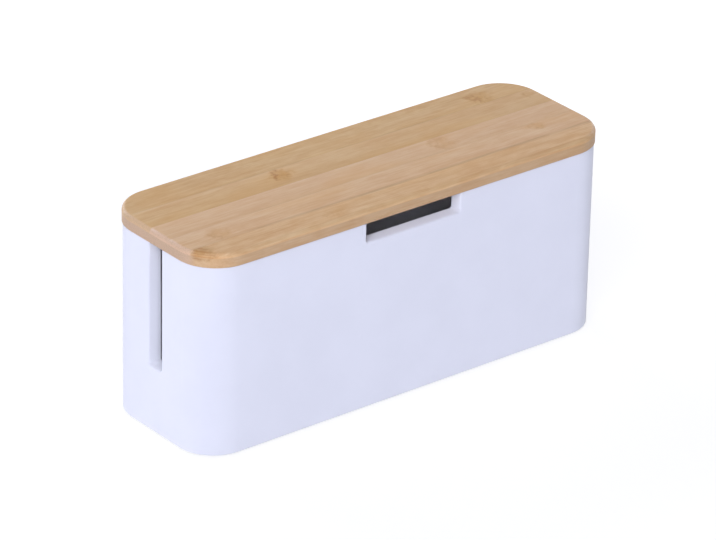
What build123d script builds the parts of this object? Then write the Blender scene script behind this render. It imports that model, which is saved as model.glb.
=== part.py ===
from build123d import *
import os

# Cable box: a moulded tub with a notch in its front and a cable slot in each end,
# under a lift-off lid of laminated bamboo. Millimetres, +Z up, front face towards -Y,
# origin under the middle of the box on the surface that its feet stand on.

# ---- driving sizes: tub ----------------------------------------------------------
body_length = 400.0
body_width = 127.0
body_height = 159.9         # from the underside of the tub to its rim
corner_radius = 32.0        # upright corners, outside
rim_width = 11.0            # outer face to inner face at the rim
skin = 2.5                  # thickness of the outer skin, the inner skin and the rim
inner_draft = 0.25          # degrees that the inner skin leans in towards the floor
floor_thickness = 2.5
floor_fillet = 4.0          # inside, where the walls meet the floor
base_edge_radius = 1.5      # outside, round the bottom
rim_chamfer = 0.5           # all edges on top of the rim

# ---- driving sizes: openings, all open at the rim --------------------------------
notch_width = 92.6
notch_depth = 17.5
notch_corner_radius = 2.5
notch_edge_radius = 1.6     # where it meets the outer face
slot_width = 16.0
slot_depth = 104.8
slot_corner_radius = 3.0
slot_edge_radius = 1.2

# ---- driving sizes: stiffening ribs between the two skins ------------------------
rib_thickness = 2.0
side_rib_count = 6          # bridges front and back walls alike
side_rib_pitch = 62.0
end_rib_offset = 24.0       # each side of the middle of the end walls

# ---- driving sizes: feet ---------------------------------------------------------
foot_diameter = 16.0
foot_height = 2.5
foot_recess_depth = 1.0
foot_clearance = 0.2        # round the foot in its recess
foot_chamfer = 0.4
foot_setback = 34.0         # outer faces to the middle of a foot

# ---- driving sizes: lid ----------------------------------------------------------
lid_side_overhang = 1.7     # past the tub's front and back
lid_end_overhang = 1.0      # past its ends
lid_corner_radius = 34.5    # a little more than the tub's, so that the corners overhang least
face_ply = 4.3
core_ply = 8.1
locating_ply = 4.2          # the underside ply, cut back to drop inside the rim
locating_clearance = 1.2    # to the inner skin, all round
locating_chamfer = 0.8      # leads the lid into the rim
lid_edge_radius = 3.5       # round-over along the top
lid_under_chamfer = 0.6     # eased edge along the underside
strip_widths = [22.5, 24.5, 24.2, 27.5]   # face strips from the front; the last takes the rest

# ---- levels and outlines worked out from them ------------------------------------
base_z = foot_height - foot_recess_depth
rim_z = base_z + body_height
face_z = rim_z + core_ply
front_y = -body_width / 2
inner_length = body_length - 2 * rim_width
inner_width = body_width - 2 * rim_width
inner_radius = corner_radius - rim_width
lid_length = body_length + 2 * lid_end_overhang
lid_width = body_width + 2 * lid_side_overhang

near = 0.01                 # how close an edge's middle lies to the face it is picked by


def plate(length, width, radius, z, height):
    """A flat plate with rounded corners, standing on level z."""
    outline = Plane.XY.offset(z) * RectangleRounded(length, width, radius)
    return extrude(outline, amount=height)


def lowest_edges(shape):
    return shape.edges().group_by(Axis.Z)[0]


def highest_edges(shape):
    return shape.edges().group_by(Axis.Z)[-1]


# ---- tub -------------------------------------------------------------------------
def drafted_core(grow, depth):
    """The inside of the tub, grown sideways, leaning in as it goes down from the rim."""
    outline = Plane.XY.offset(rim_z) * RectangleRounded(
        inner_length + 2 * grow, inner_width + 2 * grow, inner_radius + grow
    )
    return extrude(outline, amount=depth, dir=(0, 0, -1), taper=inner_draft)


def opening_cutter(wall_face, width, depth, radius):
    """A U-shaped cutter, open at the rim, through the wall that the plane lies on."""
    above_rim = rim_width
    height = depth + above_rim
    outline = Pos(0, above_rim - height / 2) * Rectangle(width, height)
    outline = fillet(outline.vertices().sort_by(Axis.Y)[:2], radius)
    return extrude(wall_face * outline, amount=2 * rim_width, both=True)


def opening_cutters(wall):
    """The notch and both end slots, grown sideways and down by the given wall."""
    front_face = Plane(origin=(0, front_y, rim_z), x_dir=(1, 0, 0), z_dir=(0, -1, 0))
    cutters = [
        opening_cutter(
            front_face, notch_width + 2 * wall, notch_depth + wall, notch_corner_radius + wall
        )
    ]
    for side in (-1, 1):
        end_face = Plane(
            origin=(side * body_length / 2, 0, rim_z), x_dir=(0, side, 0), z_dir=(side, 0, 0)
        )
        cutters.append(
            opening_cutter(
                end_face, slot_width + 2 * wall, slot_depth + wall, slot_corner_radius + wall
            )
        )
    return cutters


def wall_hollow():
    """The space between the two skins, open underneath, closed round each opening
    and bridged by ribs."""
    hollow = plate(
        body_length - 2 * skin,
        body_width - 2 * skin,
        corner_radius - skin,
        base_z,
        body_height - skin,
    )
    hollow -= drafted_core(skin, body_height)
    for cutter in opening_cutters(skin):
        hollow -= cutter
    middle_z = base_z + body_height / 2
    for index in range(side_rib_count):
        x = (index - (side_rib_count - 1) / 2) * side_rib_pitch
        hollow -= Pos(x, 0, middle_z) * Box(rib_thickness, body_width, body_height)
    for y in (-end_rib_offset, end_rib_offset):
        hollow -= Pos(0, y, middle_z) * Box(body_length, rib_thickness, body_height)
    return hollow


def foot_places():
    """Name and middle of each foot."""
    x = body_length / 2 - foot_setback
    y = body_width / 2 - foot_setback
    return {
        "foot_front_left": (-x, -y),
        "foot_front_right": (x, -y),
        "foot_rear_left": (-x, y),
        "foot_rear_right": (x, y),
    }


def foot_recess():
    radius = foot_diameter / 2 + foot_clearance
    return Cylinder(radius, foot_recess_depth, align=(Align.CENTER, Align.CENTER, Align.MIN))


def notch_edges(shell):
    """The edges of the notch that lie on the tub's front face."""
    edges = shell.edges().filter_by_position(Axis.Y, front_y - near, front_y + near)
    edges = edges.filter_by_position(Axis.X, -notch_width / 2 - near, notch_width / 2 + near)
    return edges.filter_by_position(Axis.Z, rim_z - notch_depth - near, rim_z - near)


def slot_edges(shell, end_x):
    """The edges of one slot that lie on the tub's end face."""
    edges = shell.edges().filter_by_position(Axis.X, end_x - near, end_x + near)
    edges = edges.filter_by_position(Axis.Y, -slot_width / 2 - near, slot_width / 2 + near)
    return edges.filter_by_position(Axis.Z, rim_z - slot_depth - near, rim_z - near)


def box_shell():
    """The tub: an outer and an inner skin joined by the rim, the floor inside them."""
    shell = plate(body_length, body_width, corner_radius, base_z, body_height)
    shell = fillet(lowest_edges(shell), base_edge_radius)
    cavity = drafted_core(0, body_height - floor_thickness)
    shell -= fillet(lowest_edges(cavity), floor_fillet)
    shell -= wall_hollow()
    for cutter in opening_cutters(0):
        shell -= cutter
    for x, y in foot_places().values():
        shell -= Pos(x, y, base_z) * foot_recess()
    shell = fillet(notch_edges(shell), notch_edge_radius)
    for end_x in (-body_length / 2, body_length / 2):
        shell = fillet(slot_edges(shell, end_x), slot_edge_radius)
    rim_edges = shell.edges().filter_by_position(Axis.Z, rim_z - near, rim_z + near)
    return chamfer(rim_edges, rim_chamfer)


def foot():
    """A round rubber foot, stuck in its recess."""
    body = Cylinder(foot_diameter / 2, foot_height, align=(Align.CENTER, Align.CENTER, Align.MIN))
    return chamfer(lowest_edges(body), foot_chamfer)


# ---- lid -------------------------------------------------------------------------
def lid_face():
    """The face ply in one piece, rounded over along its top edge."""
    ply = plate(lid_length, lid_width, lid_corner_radius, face_z, face_ply)
    return fillet(highest_edges(ply), min(lid_edge_radius, 0.9 * face_ply))


def lid_face_strips():
    """The face ply cut along its glue joints into lengthwise strips, front to back."""
    ply = lid_face()
    strips = []
    near_side = -lid_width / 2
    for width in strip_widths + [lid_width - sum(strip_widths)]:
        middle = Pos(0, near_side + width / 2, face_z + face_ply / 2)
        strips.append(ply & middle * Box(lid_length, width, face_ply))
        near_side += width
    return strips


def lid_core():
    """The middle ply, which lies on the rim and overhangs it all round."""
    ply = plate(lid_length, lid_width, lid_corner_radius, rim_z, core_ply)
    return chamfer(lowest_edges(ply), lid_under_chamfer)


def lid_locating_ply():
    """The underside ply, which drops inside the rim and keeps the lid from sliding."""
    ply = plate(
        inner_length - 2 * locating_clearance,
        inner_width - 2 * locating_clearance,
        inner_radius - locating_clearance,
        rim_z - locating_ply,
        locating_ply,
    )
    return chamfer(lowest_edges(ply), locating_chamfer)


nodes = {
    "box_shell": box_shell(),
    "lid_core_ply": lid_core(),
    "lid_locating_ply": lid_locating_ply(),
}
for number, strip in enumerate(lid_face_strips(), start=1):
    nodes[f"lid_face_strip_{number}"] = strip
for name, (x, y) in foot_places().items():
    nodes[name] = Pos(x, y, 0) * foot()

os.makedirs("parts", exist_ok=True)
for name, shape in nodes.items():
    export_step(shape, f"parts/{name}.step")
    print(name, round(shape.volume), "mm3")
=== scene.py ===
# %% [markdown]
# # A cable box with a bamboo lid
#
# The object is a long white plastic tub that hides a power strip and its leads. A flat board of bamboo
# lies on its rim as a lid. Leads pass through a slot in each end and through a shallow notch in the
# front.
#
# The solids come ready made, at their real size, from the part's own model. This lesson dresses them: it
# gives each piece the finish of the real one, models the visible strips of the lid anew with eased glue
# joints, and sets up the camera and the light.

# %% Load the solids
import math

import bmesh
import bpy
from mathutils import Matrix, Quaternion, Vector


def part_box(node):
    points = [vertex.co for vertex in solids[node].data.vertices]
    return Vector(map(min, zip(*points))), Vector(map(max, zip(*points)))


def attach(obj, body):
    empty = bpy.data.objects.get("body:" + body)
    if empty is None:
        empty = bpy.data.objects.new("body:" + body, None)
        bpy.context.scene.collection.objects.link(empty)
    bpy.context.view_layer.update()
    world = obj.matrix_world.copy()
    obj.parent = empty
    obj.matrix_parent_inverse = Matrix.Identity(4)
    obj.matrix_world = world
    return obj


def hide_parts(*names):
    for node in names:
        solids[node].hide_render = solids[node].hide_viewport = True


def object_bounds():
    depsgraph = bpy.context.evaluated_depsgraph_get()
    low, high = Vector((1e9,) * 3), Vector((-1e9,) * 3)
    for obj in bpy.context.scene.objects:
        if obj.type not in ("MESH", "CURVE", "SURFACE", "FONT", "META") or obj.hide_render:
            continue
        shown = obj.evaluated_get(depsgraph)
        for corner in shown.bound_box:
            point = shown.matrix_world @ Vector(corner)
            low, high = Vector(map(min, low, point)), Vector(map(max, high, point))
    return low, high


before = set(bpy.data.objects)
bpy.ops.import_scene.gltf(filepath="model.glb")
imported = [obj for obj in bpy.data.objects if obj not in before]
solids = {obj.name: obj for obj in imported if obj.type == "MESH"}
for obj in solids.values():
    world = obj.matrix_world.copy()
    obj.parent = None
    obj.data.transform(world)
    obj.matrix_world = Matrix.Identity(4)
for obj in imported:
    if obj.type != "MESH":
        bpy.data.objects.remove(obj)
cad_lowest, cad_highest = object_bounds()
print("solids:", sorted(solids))

MM = 0.001


# %% [markdown]
# ## The camera
#
# The box is seen a little from above, with its left end and its front in view. A long lens from nearly
# four metres away keeps the upright edges almost parallel. A wide lens close by would show the same
# faces, but the box would look like a building seen from its corner.
#
# Two angles say where the camera stands, and a third rolls it by a little over a degree, like a camera
# on a stand that isn't quite level.

# %% Camera
CAMERA_YAW = math.radians(38.99)
CAMERA_PITCH = math.radians(26.33)
CAMERA_ROLL = math.radians(1.26)
CAMERA_DISTANCE = 3.767
CAMERA_TARGET = Vector((-2.75, 0.25, 83.05)) * MM
LENS = 241.6
SENSOR = 36.0


def add_camera():
    """Stand the camera back from its target, looking along the two angles."""
    looking = Vector((
        math.sin(CAMERA_YAW) * math.cos(CAMERA_PITCH),
        math.cos(CAMERA_YAW) * math.cos(CAMERA_PITCH),
        -math.sin(CAMERA_PITCH),
    ))
    data = bpy.data.cameras.new("camera")
    data.lens = LENS
    data.sensor_width = SENSOR
    camera = bpy.data.objects.new("camera", data)
    bpy.context.scene.collection.objects.link(camera)
    camera.location = CAMERA_TARGET - looking * CAMERA_DISTANCE
    camera.rotation_mode = "QUATERNION"
    roll = Quaternion((0.0, 0.0, 1.0), CAMERA_ROLL)
    camera.rotation_quaternion = looking.to_track_quat("-Z", "Y") @ roll
    return camera


bpy.context.scene.camera = add_camera()
print("camera:", [round(v, 3) for v in bpy.context.scene.camera.location])


# %% [markdown]
# ## Shader helpers
#
# Every finish below is built from small texture nodes. These helpers add a node, set its sockets by name
# and join two sockets, so that the recipes stay short enough to read.

# %% Shader helpers
def add_node(tree, kind, settings=None, **values):
    """A node of the given kind, with plain settings and socket values."""
    node = tree.nodes.new(kind)
    for name, value in (settings or {}).items():
        setattr(node, name, value)
    for name, value in values.items():
        node.inputs[name.replace("_", " ")].default_value = value
    return node


def feed(tree, value, socket):
    """Join a socket to another, or set it to a number or colour."""
    if isinstance(value, bpy.types.NodeSocket):
        tree.links.new(value, socket)
    else:
        socket.default_value = value


def maths(tree, operation, first, second=0.0, third=0.0):
    node = add_node(tree, "ShaderNodeMath", {"operation": operation})
    for socket, value in zip(node.inputs, (first, second, third)):
        feed(tree, value, socket)
    return node.outputs[0]


def mix_colour(tree, amount, first, second, blend="MIX"):
    node = add_node(tree, "ShaderNodeMix", {"data_type": "RGBA", "blend_type": blend})
    colours = [socket for socket in node.inputs if socket.type == "RGBA"]
    feed(tree, amount, node.inputs[0])
    feed(tree, first, colours[0])
    feed(tree, second, colours[1])
    return next(socket for socket in node.outputs if socket.type == "RGBA")


def ramp(tree, value, low, high, low_out=0.0, high_out=1.0):
    """Map a value smoothly from one range to another, held at its ends."""
    node = add_node(tree, "ShaderNodeMapRange", {"interpolation_type": "SMOOTHSTEP"})
    for socket, number in zip(node.inputs, (value, low, high, low_out, high_out)):
        feed(tree, number, socket)
    return node.outputs[0]


def noise(tree, place, scale, detail=2.0, roughness=0.5):
    node = add_node(tree, "ShaderNodeTexNoise", {"noise_dimensions": "3D"})
    feed(tree, place, node.inputs["Vector"])
    node.inputs["Scale"].default_value = scale
    node.inputs["Detail"].default_value = detail
    node.inputs["Roughness"].default_value = roughness
    return node.outputs["Fac"]


def stretched(tree, place, scales, shift=(0.0, 0.0, 0.0)):
    """The place vector, scaled along each axis, so that a round pattern becomes long streaks."""
    scaled = add_node(tree, "ShaderNodeVectorMath", {"operation": "MULTIPLY"})
    feed(tree, place, scaled.inputs[0])
    scaled.inputs[1].default_value = scales
    moved = add_node(tree, "ShaderNodeVectorMath", {"operation": "ADD"})
    feed(tree, scaled.outputs[0], moved.inputs[0])
    feed(tree, shift, moved.inputs[1])
    return moved.outputs[0]


def new_group(name, inputs, outputs):
    """A shader node group with named inputs (name, kind, default) and outputs (name, kind)."""
    group = bpy.data.node_groups.new(name, "ShaderNodeTree")
    for label, kind, default in inputs:
        socket = group.interface.new_socket(label, in_out="INPUT", socket_type=kind)
        socket.default_value = default
    for label, kind in outputs:
        group.interface.new_socket(label, in_out="OUTPUT", socket_type=kind)
    return group, group.nodes.new("NodeGroupInput"), group.nodes.new("NodeGroupOutput")


def place_group(tree, group, **values):
    """Put a group into a material and feed its inputs."""
    node = tree.nodes.new("ShaderNodeGroup")
    node.node_tree = group
    for name, value in values.items():
        feed(tree, value, node.inputs[name.replace("_", " ")])
    return node


def new_material(name):
    material = bpy.data.materials.new(name)
    material.use_nodes = True
    return material, material.node_tree, material.node_tree.nodes["Principled BSDF"]


def add_bump(tree, shader, height, strength, distance):
    """Let a fine relief catch the light, without moving the surface."""
    bump = add_node(tree, "ShaderNodeBump", Strength=strength, Distance=distance)
    feed(tree, height, bump.inputs["Height"])
    feed(tree, bump.outputs["Normal"], shader.inputs["Normal"])


# %% [markdown]
# ## Moulded grain, shared by the plastic and the rubber
#
# A matt moulding isn't smooth. The steel mould is spark-eroded, and leaves a fine even grain about a
# third of a millimetre across, with broader waves where the plastic cooled unevenly. A noise texture at
# each scale gives both. The group puts out a height for a Bump node, a tone that lightens and darkens the
# colour a trifle, and a roughness.

# %% Moulded grain group
PLASTIC_GRAIN = 0.35 * MM
WAVES_PER_METRE = 28.0
# The stretch of the waves' values that is spread over the whole tone.
WAVE_SPAN = (0.25, 0.75)
# The whole swing of the roughness with the grain.
ROUGHNESS_SWING = 0.12


def make_moulded_grain():
    group, given, out = new_group(
        "moulded_grain",
        [("Grain Size", "NodeSocketFloat", PLASTIC_GRAIN), ("Roughness", "NodeSocketFloat", 0.5)],
        [("Height", "NodeSocketFloat"), ("Tone", "NodeSocketFloat"), ("Roughness", "NodeSocketFloat")],
    )
    place = add_node(group, "ShaderNodeTexCoord").outputs["Object"]
    grain_scale = maths(group, "DIVIDE", 1.0, given.outputs["Grain Size"])
    scaled = add_node(group, "ShaderNodeVectorMath", {"operation": "SCALE"})
    feed(group, place, scaled.inputs[0])
    feed(group, grain_scale, scaled.inputs["Scale"])
    grain = noise(group, scaled.outputs[0], 1.0, detail=1.0)
    waves = noise(group, place, WAVES_PER_METRE, detail=3.0)
    half_grain = maths(group, "MULTIPLY", grain, 0.5)
    half_waves = maths(group, "MULTIPLY", waves, 0.5)
    height = maths(group, "ADD", half_grain, half_waves)
    feed(group, height, out.inputs["Height"])
    feed(group, ramp(group, waves, *WAVE_SPAN), out.inputs["Tone"])
    swing = maths(group, "SUBTRACT", grain, 0.5)
    uneven = maths(group, "MULTIPLY_ADD", swing, ROUGHNESS_SWING, given.outputs["Roughness"])
    feed(group, uneven, out.inputs["Roughness"])
    return group


moulded_grain = make_moulded_grain()
print("group:", moulded_grain.name)


# %% [markdown]
# ## White plastic
#
# The tub is a matt white ABS moulding. The plastic is close to a neutral white, and looks cool because
# the lamps are. Its colour is written well under pure white, because nothing real reflects all light, and
# a pure white would lose its corners. The grain feeds the shader's roughness, and a Bump node makes it
# catch the light.
#
# A grain this rough also scatters light back towards the lamp, so the rounded corners hardly change in
# tone as they turn. That is the shader's diffuse roughness. At its default of 0, a bright band would run
# down the corner that faces the lamp.

# %% White plastic
PLASTIC_LIGHT = (0.800, 0.802, 0.823, 1.0)
PLASTIC_DARK = (0.781, 0.783, 0.804, 1.0)
PLASTIC_ROUGHNESS = 0.5
PLASTIC_IOR = 1.45
PLASTIC_SPECULAR = 0.3
# The highest value that the shader takes.
PLASTIC_DIFFUSE_ROUGHNESS = 1.0


def make_plastic():
    material, tree, shader = new_material("white_plastic")
    grain = place_group(tree, moulded_grain, Grain_Size=PLASTIC_GRAIN, Roughness=PLASTIC_ROUGHNESS)
    colour = mix_colour(tree, grain.outputs["Tone"], PLASTIC_DARK, PLASTIC_LIGHT)
    feed(tree, colour, shader.inputs["Base Color"])
    feed(tree, grain.outputs["Roughness"], shader.inputs["Roughness"])
    shader.inputs["IOR"].default_value = PLASTIC_IOR
    shader.inputs["Diffuse Roughness"].default_value = PLASTIC_DIFFUSE_ROUGHNESS
    shader.inputs["Specular IOR Level"].default_value = PLASTIC_SPECULAR
    add_bump(tree, shader, grain.outputs["Height"], strength=0.12, distance=0.05 * MM)
    return material


plastic = make_plastic()
print("material:", plastic.name)


# %% [markdown]
# ## Rubber
#
# The feet are plain pale silicone rubber: the same moulded grain, coarser, and a duller surface.

# %% Rubber
RUBBER_LIGHT = (0.62, 0.62, 0.61, 1.0)
RUBBER_DARK = (0.52, 0.52, 0.51, 1.0)
RUBBER_GRAIN = 0.6 * MM
RUBBER_ROUGHNESS = 0.75
RUBBER_SPECULAR = 0.25


def make_rubber():
    material, tree, shader = new_material("foot_rubber")
    grain = place_group(tree, moulded_grain, Grain_Size=RUBBER_GRAIN, Roughness=RUBBER_ROUGHNESS)
    colour = mix_colour(tree, grain.outputs["Tone"], RUBBER_DARK, RUBBER_LIGHT)
    feed(tree, colour, shader.inputs["Base Color"])
    feed(tree, grain.outputs["Roughness"], shader.inputs["Roughness"])
    shader.inputs["Specular IOR Level"].default_value = RUBBER_SPECULAR
    add_bump(tree, shader, grain.outputs["Height"], strength=0.3, distance=0.08 * MM)
    return material


rubber = make_rubber()
print("material:", rubber.name)


# %% [markdown]
# ## Bamboo
#
# Bamboo has no growth rings. A split cane is a bundle of stiff fibres in paler tissue, all running
# lengthwise, and planed flat it shows as fine parallel streaks. Streaks come from a noise texture that is
# squeezed across the grain and stretched along it. Three widths of streak are laid over each other:
# fine fibres, bands of a few millimetres, and slow drifts of tone across a strip. A fourth noise, much
# rounder, makes the mottled patches where the fibres dip under the surface. All four wander a little
# sideways, because no cane is perfectly straight.

# %% Bamboo fibre group
# Noise waves per metre along the grain, across it and through the board.
WANDER = (9.0, 14.0, 14.0)
FINE_FIBRES = (38.0, 1100.0, 1100.0)
BANDS = (22.0, 380.0, 380.0)
DRIFT = (6.0, 75.0, 75.0)
MOTTLE = (55.0, 130.0, 130.0)
HUE = (11.0, 34.0, 34.0)
# How far a noise value of 1 would push the fibres sideways.
WANDER_REACH = 6.0 * MM
# The share of each pattern in the depth of the streaks. Together they make 1.
FINE_SHARE = 0.26
BAND_SHARE = 0.28
DRIFT_SHARE = 0.20
MOTTLE_SHARE = 0.26
# How much of the warm colour comes in at most.
MOST_WARMTH = 0.4
# The stretch of each noise's values that is spread over its whole effect.
FINE_SPAN = (0.32, 0.68)
PATTERN_SPAN = (0.33, 0.67)
HUE_SPAN = (0.42, 0.7)


def make_bamboo_fibre():
    group, given, out = new_group(
        "bamboo_fibre",
        [
            ("Pale", "NodeSocketColor", (0.6, 0.4, 0.25, 1.0)),
            ("Deep", "NodeSocketColor", (0.5, 0.3, 0.17, 1.0)),
            ("Warm", "NodeSocketColor", (0.6, 0.4, 0.18, 1.0)),
            ("Shift", "NodeSocketVector", (0.0, 0.0, 0.0)),
        ],
        [("Color", "NodeSocketColor"), ("Height", "NodeSocketFloat"), ("Streaks", "NodeSocketFloat")],
    )
    place = add_node(group, "ShaderNodeTexCoord").outputs["Object"]
    shift = given.outputs["Shift"]
    wander = noise(group, stretched(group, place, WANDER, shift), 1.0, detail=2.0)
    bent = add_node(group, "ShaderNodeCombineXYZ")
    aside = maths(group, "MULTIPLY", maths(group, "SUBTRACT", wander, 0.5), WANDER_REACH)
    feed(group, aside, bent.inputs["Y"])
    along = add_node(group, "ShaderNodeVectorMath", {"operation": "ADD"})
    feed(group, place, along.inputs[0])
    feed(group, bent.outputs[0], along.inputs[1])
    path = along.outputs[0]
    fine = noise(group, stretched(group, path, FINE_FIBRES, shift), 1.0, detail=2.0, roughness=0.7)
    bands = noise(group, stretched(group, path, BANDS, shift), 1.0, detail=3.0, roughness=0.65)
    drift = noise(group, stretched(group, path, DRIFT, shift), 1.0, detail=2.0)
    mottle = noise(group, stretched(group, path, MOTTLE, shift), 1.0, detail=3.0, roughness=0.6)
    fine_mask = ramp(group, fine, *FINE_SPAN)
    depth = maths(group, "MULTIPLY", fine_mask, FINE_SHARE)
    for pattern, share in ((bands, BAND_SHARE), (drift, DRIFT_SHARE), (mottle, MOTTLE_SHARE)):
        depth = maths(group, "MULTIPLY_ADD", ramp(group, pattern, *PATTERN_SPAN), share, depth)
    hue = noise(group, stretched(group, place, HUE, shift), 1.0, detail=2.0)
    colour = mix_colour(group, depth, given.outputs["Pale"], given.outputs["Deep"])
    warmth = ramp(group, hue, *HUE_SPAN, 0.0, MOST_WARMTH)
    colour = mix_colour(group, warmth, colour, given.outputs["Warm"])
    feed(group, colour, out.inputs["Color"])
    feed(group, maths(group, "SUBTRACT", 1.0, fine_mask), out.inputs["Height"])
    feed(group, depth, out.inputs["Streaks"])
    return group


bamboo_fibre = make_bamboo_fibre()
print("group:", bamboo_fibre.name)


# %% [markdown]
# ## Knuckles
#
# Every thirty centimetres or so a cane has a knuckle, where a wall closes it off and the fibres knot
# together. In a planed strip it shows as a bowed band across the grain with a scatter of short brown
# fibre ends round it, in a warm brown cloud that fades out over a centimetre. Where a rounded edge cuts
# through a knuckle, the fibres show as a comb of curved streaks instead. The group works in the knuckle's
# own two directions, along its fibres and across them, so one group draws every knuckle, each with its
# own place, slant, size and share of comb.

# %% Knuckle group
# Noise waves per metre: the ragged outline, the warp of the whole, the clouds and the fibre ends.
RAGGED_SCALE = 260.0
WARP_SCALE = 85.0
CLOUD_SCALE = 150.0
FIBRE_END_SCALES = (260.0, 640.0, 0.0)
# How far a noise value of 1 would move the outline, in half lengths and half widths.
WARP_ALONG = 1.6
RAGGED_ALONG = 0.9
RAGGED_ACROSS = 0.6
# How far it would move the comb, in radians of its wave, and how the band bows.
RAGGED_COMB = 4.0
BAND_BOW = -0.45
# Where each part starts to show and where it is full. The first two go by the squared distance from the
# middle, in half lengths and half widths, the next two by the comb's wave and the way along it.
NEAR_SPAN = (1.3, 0.1)
COMB_SPAN = (1.0, 0.5)
WAVE_CREST = (-0.2, 0.9)
COMB_FADE = (1.0, -0.7)
COMB_LEAST = 0.25
FIBRE_END_SPAN = (0.5, 0.68)
CLOUD_SPAN = (0.36, 0.6)
BAND_SPAN = (0.4, 0.0)
# How far the band lies off the middle, in half lengths, and how strong it and the fibre ends are.
BAND_OFFSET = 0.5
BAND_STRENGTH = 0.9
FIBRE_END_STRENGTH = 0.5


def make_bamboo_knuckle():
    group, given, out = new_group(
        "bamboo_knuckle",
        [
            ("Middle", "NodeSocketVector", (0.0, 0.0, 0.0)),
            ("Along", "NodeSocketVector", (1.0, 0.0, 0.0)),
            ("Across", "NodeSocketVector", (0.0, 1.0, 0.0)),
            ("Length", "NodeSocketFloat", 8.0 * MM),
            ("Width", "NodeSocketFloat", 8.0 * MM),
            ("Spacing", "NodeSocketFloat", 2.6 * MM),
            ("Bow", "NodeSocketFloat", 0.0),
            ("Comb", "NodeSocketFloat", 0.0),
        ],
        [("Streaks", "NodeSocketFloat"), ("Cloud", "NodeSocketFloat")],
    )
    place = add_node(group, "ShaderNodeTexCoord").outputs["Object"]
    offset = add_node(group, "ShaderNodeVectorMath", {"operation": "SUBTRACT"})
    feed(group, place, offset.inputs[0])
    feed(group, given.outputs["Middle"], offset.inputs[1])
    distances = []
    for direction in ("Along", "Across"):
        dot = add_node(group, "ShaderNodeVectorMath", {"operation": "DOT_PRODUCT"})
        feed(group, offset.outputs[0], dot.inputs[0])
        feed(group, given.outputs[direction], dot.inputs[1])
        distances.append(dot.outputs["Value"])
    along, across = distances
    bow = maths(group, "MULTIPLY", maths(group, "MULTIPLY", along, along), given.outputs["Bow"])
    across = maths(group, "ADD", across, bow)
    ragged = maths(group, "SUBTRACT", noise(group, place, RAGGED_SCALE, detail=2.0), 0.5)
    warped = maths(group, "SUBTRACT", noise(group, place, WARP_SCALE), 0.5)
    ragged_along = maths(group, "MULTIPLY", ragged, RAGGED_ALONG)
    warped = maths(group, "MULTIPLY_ADD", warped, WARP_ALONG, ragged_along)
    u = maths(group, "ADD", warped, maths(group, "DIVIDE", along, given.outputs["Length"]))
    v = maths(group, "DIVIDE", across, given.outputs["Width"])
    v = maths(group, "MULTIPLY_ADD", ragged, RAGGED_ACROSS, v)
    v_squared = maths(group, "MULTIPLY", v, v)
    far = maths(group, "MULTIPLY_ADD", u, u, v_squared)
    near = ramp(group, far, *NEAR_SPAN)

    # The comb of curved streaks.
    turn = maths(group, "MULTIPLY", across, 2.0 * math.pi)
    turn = maths(group, "DIVIDE", turn, given.outputs["Spacing"])
    wave = maths(group, "SINE", maths(group, "MULTIPLY_ADD", ragged, RAGGED_COMB, turn))
    comb = maths(group, "MULTIPLY", ramp(group, wave, *WAVE_CREST), ramp(group, far, *COMB_SPAN))
    comb = maths(group, "MULTIPLY", comb, ramp(group, u, *COMB_FADE, COMB_LEAST, 1.0))

    # The fibre ends, the band and the cloud.
    knuckle_place = add_node(group, "ShaderNodeCombineXYZ")
    feed(group, along, knuckle_place.inputs["X"])
    feed(group, across, knuckle_place.inputs["Y"])
    shifted = stretched(group, knuckle_place.outputs[0], FIBRE_END_SCALES, given.outputs["Middle"])
    ends = ramp(group, noise(group, shifted, 1.0, detail=2.0), *FIBRE_END_SPAN)
    ends = maths(group, "MULTIPLY", ends, near)
    clouds = noise(group, place, CLOUD_SCALE, detail=3.0, roughness=0.6)
    clouds = ramp(group, clouds, *CLOUD_SPAN)
    band = maths(group, "MULTIPLY_ADD", v_squared, BAND_BOW, maths(group, "ADD", u, BAND_OFFSET))
    band = ramp(group, maths(group, "ABSOLUTE", band), *BAND_SPAN)
    band = maths(group, "MULTIPLY", band, near)
    band = maths(group, "MULTIPLY", band, maths(group, "MULTIPLY", clouds, BAND_STRENGTH))
    loose = maths(group, "MAXIMUM", maths(group, "MULTIPLY", ends, FIBRE_END_STRENGTH), band)
    loose = maths(group, "MULTIPLY", loose, maths(group, "SUBTRACT", 1.0, given.outputs["Comb"]))
    combed = maths(group, "MULTIPLY", comb, given.outputs["Comb"])
    feed(group, maths(group, "ADD", loose, combed), out.inputs["Streaks"])
    cloud = maths(group, "MULTIPLY", near, maths(group, "MULTIPLY_ADD", clouds, 0.5, 0.5))
    feed(group, cloud, out.inputs["Cloud"])
    return group


bamboo_knuckle = make_bamboo_knuckle()
print("group:", bamboo_knuckle.name)


# %% [markdown]
# ## End grain, and painted shade on the edges
#
# On the two ends of the lid the fibres are cut across. Each bundle is then a small dark dot in pale
# tissue, half a millimetre or so across, and the dots crowd together towards the outside of the cane. A
# Voronoi texture scatters such dots, and a mask made from the surface normal keeps them to the faces that
# look along the grain. A second mask marks the rounded and eased edges, where the wood is painted a shade
# darker. That is painted shade: it keeps the round-over from lighting up brighter than the top and sides.

# %% End grain group
DOT_SPACING = 0.8 * MM
# The dots don't change along X, the way the fibres run, and stand a little closer up the board.
DOT_STRETCH = (0.0, 1.0, 1.4)
# Where the end grain starts and is full, by how squarely a face looks along the grain.
END_SPAN = (0.88, 0.97)
# The same for the end grain and the painted shade on the edges, by how level a face's normal lies. The
# painted edge shade also goes by how far it points up or down, with the same two values.
END_LEVEL_SPAN = (0.1, 0.6)
ROUNDOVER_SHADE_SPAN = (0.1, 0.5)
# Where a dot ends and where it is full, in shares of the dot spacing.
DOT_SPAN = (0.45, 0.2)


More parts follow.
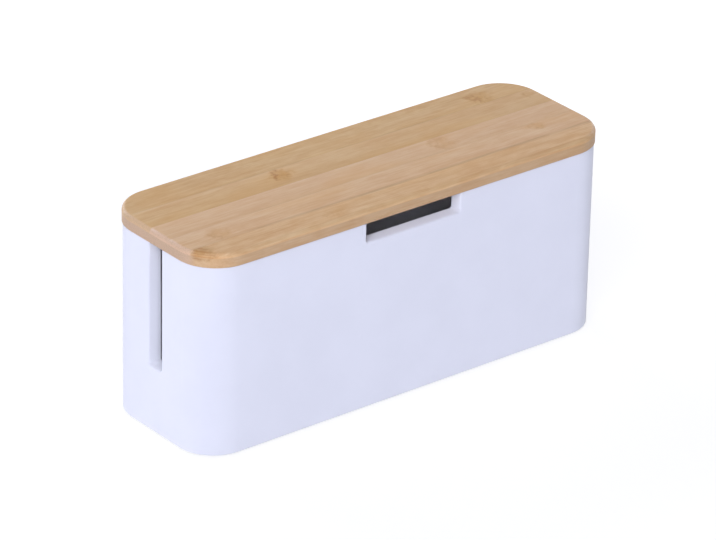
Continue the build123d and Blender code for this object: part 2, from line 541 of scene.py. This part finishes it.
def make_end_grain():
    group, given, out = new_group(
        "bamboo_end_grain",
        [("Dot Spacing", "NodeSocketFloat", DOT_SPACING)],
        [("Dots", "NodeSocketFloat"), ("End", "NodeSocketFloat"), ("Painted Edge Shade", "NodeSocketFloat")],
    )
    coordinates = add_node(group, "ShaderNodeTexCoord")
    parts = add_node(group, "ShaderNodeSeparateXYZ")
    feed(group, coordinates.outputs["Normal"], parts.inputs[0])
    height = maths(group, "ABSOLUTE", parts.outputs["Z"])
    level = maths(group, "SQRT", maths(group, "SUBTRACT", 1.0, maths(group, "MULTIPLY", height, height)))
    facing = maths(group, "ABSOLUTE", parts.outputs["X"])
    facing = maths(group, "DIVIDE", facing, maths(group, "MAXIMUM", level, 0.01))
    facing = ramp(group, facing, *END_SPAN)
    end = maths(group, "MULTIPLY", facing, ramp(group, level, *END_LEVEL_SPAN))
    # The edge mask places the painted shade on the rounded and eased edges.
    edge = maths(group, "MULTIPLY", ramp(group, level, *ROUNDOVER_SHADE_SPAN), ramp(group, height, *ROUNDOVER_SHADE_SPAN))
    scaled = add_node(group, "ShaderNodeVectorMath", {"operation": "SCALE"})
    feed(group, stretched(group, coordinates.outputs["Object"], DOT_STRETCH), scaled.inputs[0])
    feed(group, maths(group, "DIVIDE", 1.0, given.outputs["Dot Spacing"]), scaled.inputs["Scale"])
    cells = add_node(group, "ShaderNodeTexVoronoi")
    feed(group, scaled.outputs[0], cells.inputs["Vector"])
    cells.inputs["Scale"].default_value = 1.0
    dots = ramp(group, cells.outputs["Distance"], *DOT_SPAN)
    feed(group, dots, out.inputs["Dots"])
    feed(group, end, out.inputs["End"])
    feed(group, edge, out.inputs["Painted Edge Shade"])
    return group


bamboo_end_grain = make_end_grain()
print("group:", bamboo_end_grain.name)


# %% [markdown]
# ## One material for each strip
#
# The strips are cut from different canes, so each has its own tone and its own streaks. The two at the
# back are yellower, the second and third from the front paler and pinker. A function makes the material
# and lays the knuckles of that strip over its fibres. Along a glue joint the wood is stained a little
# darker, more along some joints than others. A thin satin lacquer seals the board: it shows as a soft
# sheen, so the roughness stays middling.

# %% Tones of the bamboo
KNUCKLE_BROWN = (0.64, 0.43, 0.25)
KNUCKLE_CLOUD = (0.90, 0.77, 0.53)
CORNER_CLOUD = (0.75, 0.65, 0.48)
# Painted shade: the rounded and eased edges of the wood are darkened by this much.
ROUNDOVER_PAINTED_SHADE = (0.93, 0.94, 0.96)
END_DOT = (0.41, 0.28, 0.16, 1.0)
END_TONE = (1.02, 1.06, 1.25)
END_DOT_SHARE = 0.45
WARM_TONE = (1.02, 0.93, 0.72)
STAIN_TONE = (0.5, 0.42, 0.33)
STAIN_BLOTCHES = (22.0, 260.0, 0.0)
BLOTCH_SPAN = (0.3, 0.6)
# How much of its brown a knuckle's streaks take.
KNUCKLE_SHARE = 0.75
# Roughness of the lacquer, and how much the deepest streaks add to it.
LACQUER_ROUGHNESS = 0.44
STREAK_ROUGHNESS = 0.12
LACQUER_SPECULAR = 0.3
# The stain along the glue joints is weaker at the left end.
STAIN_START = -155.0 * MM
STAIN_FULL = -120.0 * MM
STAIN_LEAST = 0.3
# How much of the streaks' depth each channel gets: deep streaks are browner, not just darker.
PALE_SHARES = (0.26, 0.50, 0.70)
DEEP_SHARES = (0.28, 0.58, 0.88)


def tone(colour, factors):
    """A colour, made lighter or darker channel by channel."""
    return (*[channel * factor for channel, factor in zip(colour, factors)], 1.0)


def bamboo_tones(colour, depth):
    """The pale, deep and warm colours of a strip, from its mean colour and the depth of its streaks."""
    pale = tone(colour, [1.0 + share * depth for share in PALE_SHARES])
    deep = tone(colour, [1.0 - share * depth for share in DEEP_SHARES])
    return pale, deep, tone(colour, WARM_TONE)


# %% Knuckles, one entry each
# Middle in millimetres, half length and half width in millimetres, slant in degrees, and how dark it is.
KNUCKLES = {
    "lid_face_strip_1": [(-72.0, -56.0, 16.0, 6.0, 0.0, 0.3)],
    "lid_face_strip_2": [(155.0, -24.5, 9.0, 7.0, -10.0, 0.65), (-163.0, -32.0, 12.0, 11.0, -20.0, 0.5)],
    "lid_face_strip_3": [(75.0, -5.0, 12.0, 13.0, -20.0, 0.5)],
    "lid_face_strip_4": [(-63.5, 23.0, 11.0, 11.0, -30.0, 1.25), (190.0, 26.0, 6.0, 6.0, 0.0, 0.5)],
    "lid_face_strip_5": [(153.0, 43.0, 14.0, 13.0, 0.0, 0.85)],
}
# One more lies on the rounded edge of a corner, where its streaks follow the edge.
LID_CORNER_RADIUS = 34.5 * MM
CORNER_MIDDLE = (-195.8, -47.9, 172.6)
CORNER_ALONG = (0.54, -0.84, 0.0)
CORNER_ACROSS = (-0.34, -0.22, -1.0)
CORNER_LENGTH = 12.5 * MM
CORNER_WIDTH = 6.4 * MM
CORNER_SPACING = 2.1 * MM
CORNER_BOW = 0.2 / LID_CORNER_RADIUS


# %% Bamboo materials
def add_knuckle(tree, wood, mixed, strength, cloud_tone=KNUCKLE_CLOUD, **values):
    """Lay one knuckle over the wood, in browner tones of the wood's own colour."""
    knuckle = place_group(tree, bamboo_knuckle, **values)
    cloud = maths(tree, "MULTIPLY", knuckle.outputs["Cloud"], strength)
    mixed = mix_colour(tree, cloud, mixed, tone(wood, cloud_tone))
    streaks = maths(tree, "MULTIPLY", knuckle.outputs["Streaks"], KNUCKLE_SHARE * strength)
    return mix_colour(tree, streaks, mixed, tone(wood, KNUCKLE_BROWN))


def stain_joints(tree, colour, mixed, joints):
    """Stain the wood darker along its glue joints, in blotches."""
    place = add_node(tree, "ShaderNodeTexCoord").outputs["Object"]
    parts = add_node(tree, "ShaderNodeSeparateXYZ")
    feed(tree, place, parts.inputs[0])
    blotches = noise(tree, stretched(tree, place, STAIN_BLOTCHES), 1.0)
    blotches = ramp(tree, blotches, *BLOTCH_SPAN)
    for y, width, strength in joints:
        near = maths(tree, "ABSOLUTE", maths(tree, "SUBTRACT", parts.outputs["Y"], y))
        stain = maths(tree, "MULTIPLY", ramp(tree, near, width * MM, 0.0), blotches)
        fade = ramp(tree, parts.outputs["X"], STAIN_START, STAIN_FULL, STAIN_LEAST, 1.0)
        stain = maths(tree, "MULTIPLY", stain, fade)
        stain = maths(tree, "MULTIPLY", stain, strength)
        mixed = mix_colour(tree, stain, mixed, tone(colour, STAIN_TONE))
    return mixed


def show_cut_ends_and_paint_edge_shade(tree, colour, mixed):
    """Show the cut fibres on the two ends, and paint shade on the rounded edges."""
    cut = place_group(tree, bamboo_end_grain, Dot_Spacing=DOT_SPACING)
    dots = maths(tree, "MULTIPLY", cut.outputs["Dots"], END_DOT_SHARE)
    end_colour = mix_colour(tree, dots, tone(colour, END_TONE), END_DOT)
    mixed = mix_colour(tree, cut.outputs["End"], mixed, end_colour)
    # The rounded and eased edges get painted shade.
    return mix_colour(tree, cut.outputs["Painted Edge Shade"], mixed, (*ROUNDOVER_PAINTED_SHADE, 1.0), "MULTIPLY")


def make_bamboo(name, colour, shift, depth, knuckles=(), joints=(), corner=False):
    """Lacquered bamboo: fibres, then knuckles, stained joints, cut ends and painted edge shade laid over
    them.
    """
    material, tree, shader = new_material(name)
    pale, deep, warm = bamboo_tones(colour, depth)
    fibre = place_group(tree, bamboo_fibre, Pale=pale, Deep=deep, Warm=warm, Shift=shift)
    mixed = fibre.outputs["Color"]
    for x, y, length, width, slant, strength in knuckles:
        turn = math.radians(slant)
        mixed = add_knuckle(
            tree,
            colour,
            mixed,
            strength,
            Middle=(x * MM, y * MM, 0.0),
            Along=(math.cos(turn), math.sin(turn), 0.0),
            Across=(-math.sin(turn), math.cos(turn), 0.0),
            Length=length * MM,
            Width=width * MM,
        )
    if corner:
        mixed = add_knuckle(
            tree,
            colour,
            mixed,
            1.0,
            CORNER_CLOUD,
            Middle=[value * MM for value in CORNER_MIDDLE],
            Along=CORNER_ALONG,
            Across=CORNER_ACROSS,
            Length=CORNER_LENGTH,
            Width=CORNER_WIDTH,
            Spacing=CORNER_SPACING,
            Bow=CORNER_BOW,
            Comb=1.0,
        )
    mixed = stain_joints(tree, colour, mixed, joints)
    mixed = show_cut_ends_and_paint_edge_shade(tree, colour, mixed)
    feed(tree, mixed, shader.inputs["Base Color"])
    rough = maths(tree, "MULTIPLY_ADD", fibre.outputs["Streaks"], STREAK_ROUGHNESS, LACQUER_ROUGHNESS)
    feed(tree, rough, shader.inputs["Roughness"])
    shader.inputs["Specular IOR Level"].default_value = LACQUER_SPECULAR
    add_bump(tree, shader, fibre.outputs["Height"], strength=0.15, distance=0.05 * MM)
    return material


# Each strip from front to back: its mean colour, the shift of its pattern and the depth of its streaks.
STRIPS = {
    "lid_face_strip_1": ((0.737, 0.472, 0.232), (3.1, 7.7, 0.4), 0.48),
    "lid_face_strip_2": ((0.741, 0.480, 0.255), (11.3, 2.9, 5.1), 0.35),
    "lid_face_strip_3": ((0.751, 0.489, 0.264), (23.9, 13.1, 8.7), 0.28),
    "lid_face_strip_4": ((0.710, 0.454, 0.211), (37.7, 19.3, 1.9), 0.34),
    "lid_face_strip_5": ((0.696, 0.449, 0.206), (41.3, 31.1, 6.3), 0.44),
}
# The two plies under the strips, in the same terms.
CORE_PLY = ((0.649, 0.423, 0.227), (53.9, 43.7, 9.1), 0.34)
UNDERSIDE_PLY = ((0.654, 0.426, 0.214), (61.7, 3.3, 2.7), 0.34)
strip_names = sorted(STRIPS)
strip_boxes = {name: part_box(name) for name in strip_names}
# Stain along the joint behind each strip but the last: its width in millimetres and its strength.
JOINT_STAINS = [(2.8, 0.42), (1.6, 0.12), (1.2, 0.08), (1.8, 0.2)]


def strip_joints(index):
    """The stained joints beside a strip, as place, width and strength."""
    joints = []
    if index > 0:
        joints.append((strip_boxes[strip_names[index]][0].y, *JOINT_STAINS[index - 1]))
    if index < len(strip_names) - 1:
        joints.append((strip_boxes[strip_names[index]][1].y, *JOINT_STAINS[index]))
    return joints


strip_materials = {}
for index, name in enumerate(strip_names):
    strip_materials[name] = make_bamboo(
        name.replace("lid_face_", "bamboo_"),
        *STRIPS[name],
        KNUCKLES[name],
        strip_joints(index),
        corner=index == 0,
    )
core_material = make_bamboo("bamboo_core", *CORE_PLY, corner=True)
locating_material = make_bamboo("bamboo_underside", *UNDERSIDE_PLY)
print("bamboo materials:", len(strip_materials) + 2)


# %% Give the solids their materials
FEET = ("foot_front_left", "foot_front_right", "foot_rear_left", "foot_rear_right")


def dress(node, material):
    """Give a solid one material in all its slots."""
    solids[node].data.materials.clear()
    solids[node].data.materials.append(material)


dress("box_shell", plastic)
dress("lid_core_ply", core_material)
dress("lid_locating_ply", locating_material)
for foot in FEET:
    dress(foot, rubber)
print("feet:", len(FEET))


# %% [markdown]
# ## The strips of the lid
#
# The top of the lid is one board, glued up from five strips, then cut to shape and rounded over along its
# edge. It is modelled the same way: one block gets its rounded corners and its rounded-over edge by
# bevels, and each strip is a copy of it, cut off at its glue joints by bisecting. A board is never
# perfectly closed at its joints, so the top edges there get a bevel of 0.06 millimetres, which catches a
# thin line of shade. Slicing first and rounding later would need the same curve to meet exactly across
# five pieces.

# %% Modelling helpers
# Two places closer than this, in metres, count as the same.
SAME_PLACE = 1e-6
# An upright edge leans less than this, in metres.
UPRIGHT_LEAN = 1e-7


def deselect_all():
    bpy.ops.object.select_all(action="DESELECT")


def add_block(name, lowest, highest):
    """A block between two corners, its place in its mesh."""
    deselect_all()
    bpy.ops.mesh.primitive_cube_add(size=1.0, location=(lowest + highest) / 2)
    block = bpy.context.active_object
    block.name = block.data.name = name
    block.scale = highest - lowest
    bpy.ops.object.transform_apply(location=True, rotation=True, scale=True)
    return block


def bevel_edges(piece, wanted, width, segments):
    """Round the edges whose two ends both pass the test."""
    deselect_all()
    piece.select_set(True)
    bpy.context.view_layer.objects.active = piece
    bpy.ops.object.mode_set(mode="EDIT")
    bpy.ops.mesh.select_mode(type="EDGE")
    bpy.ops.mesh.select_all(action="DESELECT")
    mesh = bmesh.from_edit_mesh(piece.data)
    for edge in mesh.edges:
        if wanted(edge.verts[0].co, edge.verts[1].co):
            edge.select = True
    mesh.select_flush_mode()
    bmesh.update_edit_mesh(piece.data)
    bpy.ops.mesh.bevel(offset=width, segments=segments, affect="EDGES", clamp_overlap=True)
    bpy.ops.object.mode_set(mode="OBJECT")


def bisect(piece, point, normal):
    """Cut a piece at a plane, throw away what lies beyond it and close the cut."""
    deselect_all()
    piece.select_set(True)
    bpy.context.view_layer.objects.active = piece
    bpy.ops.object.mode_set(mode="EDIT")
    bpy.ops.mesh.select_all(action="SELECT")
    bpy.ops.mesh.bisect(plane_co=point, plane_no=normal, use_fill=True, clear_outer=True)
    bpy.ops.object.mode_set(mode="OBJECT")


def shade(piece, degrees=30.0):
    deselect_all()
    piece.select_set(True)
    bpy.context.view_layer.objects.active = piece
    bpy.ops.object.shade_smooth_by_angle(angle=math.radians(degrees))


def upright(a, b):
    """An edge that runs straight up."""
    return abs(a.x - b.x) < UPRIGHT_LEAN and abs(a.y - b.y) < UPRIGHT_LEAN


# %% The face board, before it is cut into strips
LID_EDGE_RADIUS = 3.5 * MM
CORNER_SEGMENTS = 32
EDGE_SEGMENTS = 10
board_lowest = Vector([min(box[0][i] for box in strip_boxes.values()) for i in range(3)])
board_highest = Vector([max(box[1][i] for box in strip_boxes.values()) for i in range(3)])

board = add_block("face_board", board_lowest, board_highest)


def along_top(a, b):
    """An edge that lies on the board's top face."""
    return min(a.z, b.z) > board_highest.z - SAME_PLACE


bevel_edges(board, upright, LID_CORNER_RADIUS, CORNER_SEGMENTS)
bevel_edges(board, along_top, LID_EDGE_RADIUS, EDGE_SEGMENTS)
print("face board:", len(board.data.polygons), "faces")


# %% Cut it into strips
JOINT_EASE = 0.06 * MM
EASE_SEGMENTS = 2


def ease_joint(strip, joint):
    """Bevel a strip's top edges that lie on a glue joint."""
    above = board_highest.z - LID_EDGE_RADIUS / 2

    def along_joint(a, b):
        on_joint = abs(a.y - joint) < SAME_PLACE and abs(b.y - joint) < SAME_PLACE
        return on_joint and min(a.z, b.z) > above

    bevel_edges(strip, along_joint, JOINT_EASE, EASE_SEGMENTS)


def cut_strip(name):
    """A copy of the board between two glue joints, eased along them."""
    low_y, high_y = strip_boxes[name][0].y, strip_boxes[name][1].y
    strip = board.copy()
    strip.data = board.data.copy()
    strip.name = strip.data.name = name.replace("lid_face", "bamboo")
    bpy.context.scene.collection.objects.link(strip)
    joints = []
    if low_y > board_lowest.y + MM:
        bisect(strip, (0.0, low_y, 0.0), (0.0, -1.0, 0.0))
        joints.append(low_y)
    if high_y < board_highest.y - MM:
        bisect(strip, (0.0, high_y, 0.0), (0.0, 1.0, 0.0))
        joints.append(high_y)
    for joint in joints:
        ease_joint(strip, joint)
    shade(strip)
    strip.data.materials.append(strip_materials[name])
    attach(strip, "lid")
    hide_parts(name)
    return strip


for name in strip_names:
    strip = cut_strip(name)
    print(strip.name, len(strip.data.polygons), "faces")
bpy.data.objects.remove(board)


# %% [markdown]
# ## Floor, backdrop and light
#
# The box stands on a white table in a white room. To a camera ray or a reflection the world glows at a
# strength of 1, and so does the floor far from the box, so both look plain white. The glow adds nothing
# to the diffuse light on the box. Near the box the floor glows a little less, and its own lit surface
# makes up the rest. In the box's shade that rest is missing, which leaves a soft shadow. Turning the
# lamps up to whiten the floor instead would bleach the box.
#
# The lamps are wide squares of cool daylight. The key lamp stands behind the camera, almost in line with
# it. One at the left gives the near end its brighter tone, two from above light the lid, and the two
# behind keep the far sides from turning grey.

# %% Floor and world
FLOOR_SIZE = 40.0
NEAR_GLOW = 0.80
NEAR_RADIUS = 0.26
FAR_RADIUS = 0.75
FLOOR_COLOUR = (0.90, 0.90, 0.90, 1.0)
# What a camera ray sees of the floor's own colour, added to the glow: lit, it makes up the white.
FLOOR_SEEN = (0.300, 0.300, 0.300, 1.0)


def seen_directly(tree):
    """1 for rays that come from the camera, a reflection or through something clear."""
    path = add_node(tree, "ShaderNodeLightPath")
    rays = maths(tree, "MAXIMUM", path.outputs["Is Camera Ray"], path.outputs["Is Glossy Ray"])
    return maths(tree, "MAXIMUM", rays, path.outputs["Is Transmission Ray"])


def add_floor():
    deselect_all()
    bpy.ops.mesh.primitive_plane_add(size=FLOOR_SIZE, location=(0.0, 0.0, cad_lowest.z))
    floor = bpy.context.active_object
    floor.name = "floor"
    material = bpy.data.materials.new("white_floor")
    material.use_nodes = True
    tree = material.node_tree
    tree.nodes.clear()
    seen = seen_directly(tree)
    lit = add_node(tree, "ShaderNodeBsdfDiffuse")
    feed(tree, mix_colour(tree, seen, FLOOR_COLOUR, FLOOR_SEEN), lit.inputs["Color"])
    place = add_node(tree, "ShaderNodeTexCoord").outputs["Object"]
    distance = add_node(tree, "ShaderNodeVectorMath", {"operation": "LENGTH"})
    feed(tree, place, distance.inputs[0])
    share = ramp(tree, distance.outputs["Value"], NEAR_RADIUS, FAR_RADIUS, NEAR_GLOW, 1.0)
    glow = add_node(tree, "ShaderNodeEmission", Color=(1.0, 1.0, 1.0, 1.0))
    feed(tree, maths(tree, "MULTIPLY", seen, share), glow.inputs["Strength"])
    both = add_node(tree, "ShaderNodeAddShader")
    feed(tree, lit.outputs[0], both.inputs[0])
    feed(tree, glow.outputs[0], both.inputs[1])
    out = add_node(tree, "ShaderNodeOutputMaterial")
    feed(tree, both.outputs[0], out.inputs["Surface"])
    floor.data.materials.append(material)


def set_world():
    world = bpy.data.worlds.new("white_room")
    bpy.context.scene.world = world
    world.use_nodes = True
    tree = world.node_tree
    background = tree.nodes["Background"]
    background.inputs["Color"].default_value = (1.0, 1.0, 1.0, 1.0)
    feed(tree, seen_directly(tree), background.inputs["Strength"])


add_floor()
set_world()
print("world:", bpy.context.scene.world.name)


# %% Lamps
# Each lamp: where it stands in metres, and its power in watts.
LAMPS = {
    "key_lamp": ((-3.01, -3.34, 2.27), 170.0),
    "high_lamp": ((-2.15, -2.39, 3.91), 29.0),
    "left_lamp": ((-4.26, -1.55, 2.19), 50.0),
    "overhead_lamp": ((-0.41, -0.15, 5.06), 50.0),
    "back_lamp": ((0.0, 4.83, 1.37), 150.0),
    "right_lamp": ((4.47, 1.63, 1.62), 82.0),
}
LAMP_WIDTH = 2.9
LAMP_COLOUR = (0.812, 0.837, 1.0)
LAMP_AIM = Vector((0.0, 0.0, 0.08))


def add_lamp(name, place, power):
    """A square soft lamp that faces the box."""
    data = bpy.data.lights.new(name, "AREA")
    data.shape = "SQUARE"
    data.size = LAMP_WIDTH
    data.energy = power
    data.color = LAMP_COLOUR
    lamp = bpy.data.objects.new(name, data)
    bpy.context.scene.collection.objects.link(lamp)
    lamp.location = place
    lamp.rotation_mode = "QUATERNION"
    lamp.rotation_quaternion = (LAMP_AIM - Vector(place)).to_track_quat("-Z", "Y")


for lamp_name, (place, power) in LAMPS.items():
    add_lamp(lamp_name, place, power)
print("lamps:", len(LAMPS))

bpy.context.scene.view_settings.view_transform = "Standard"
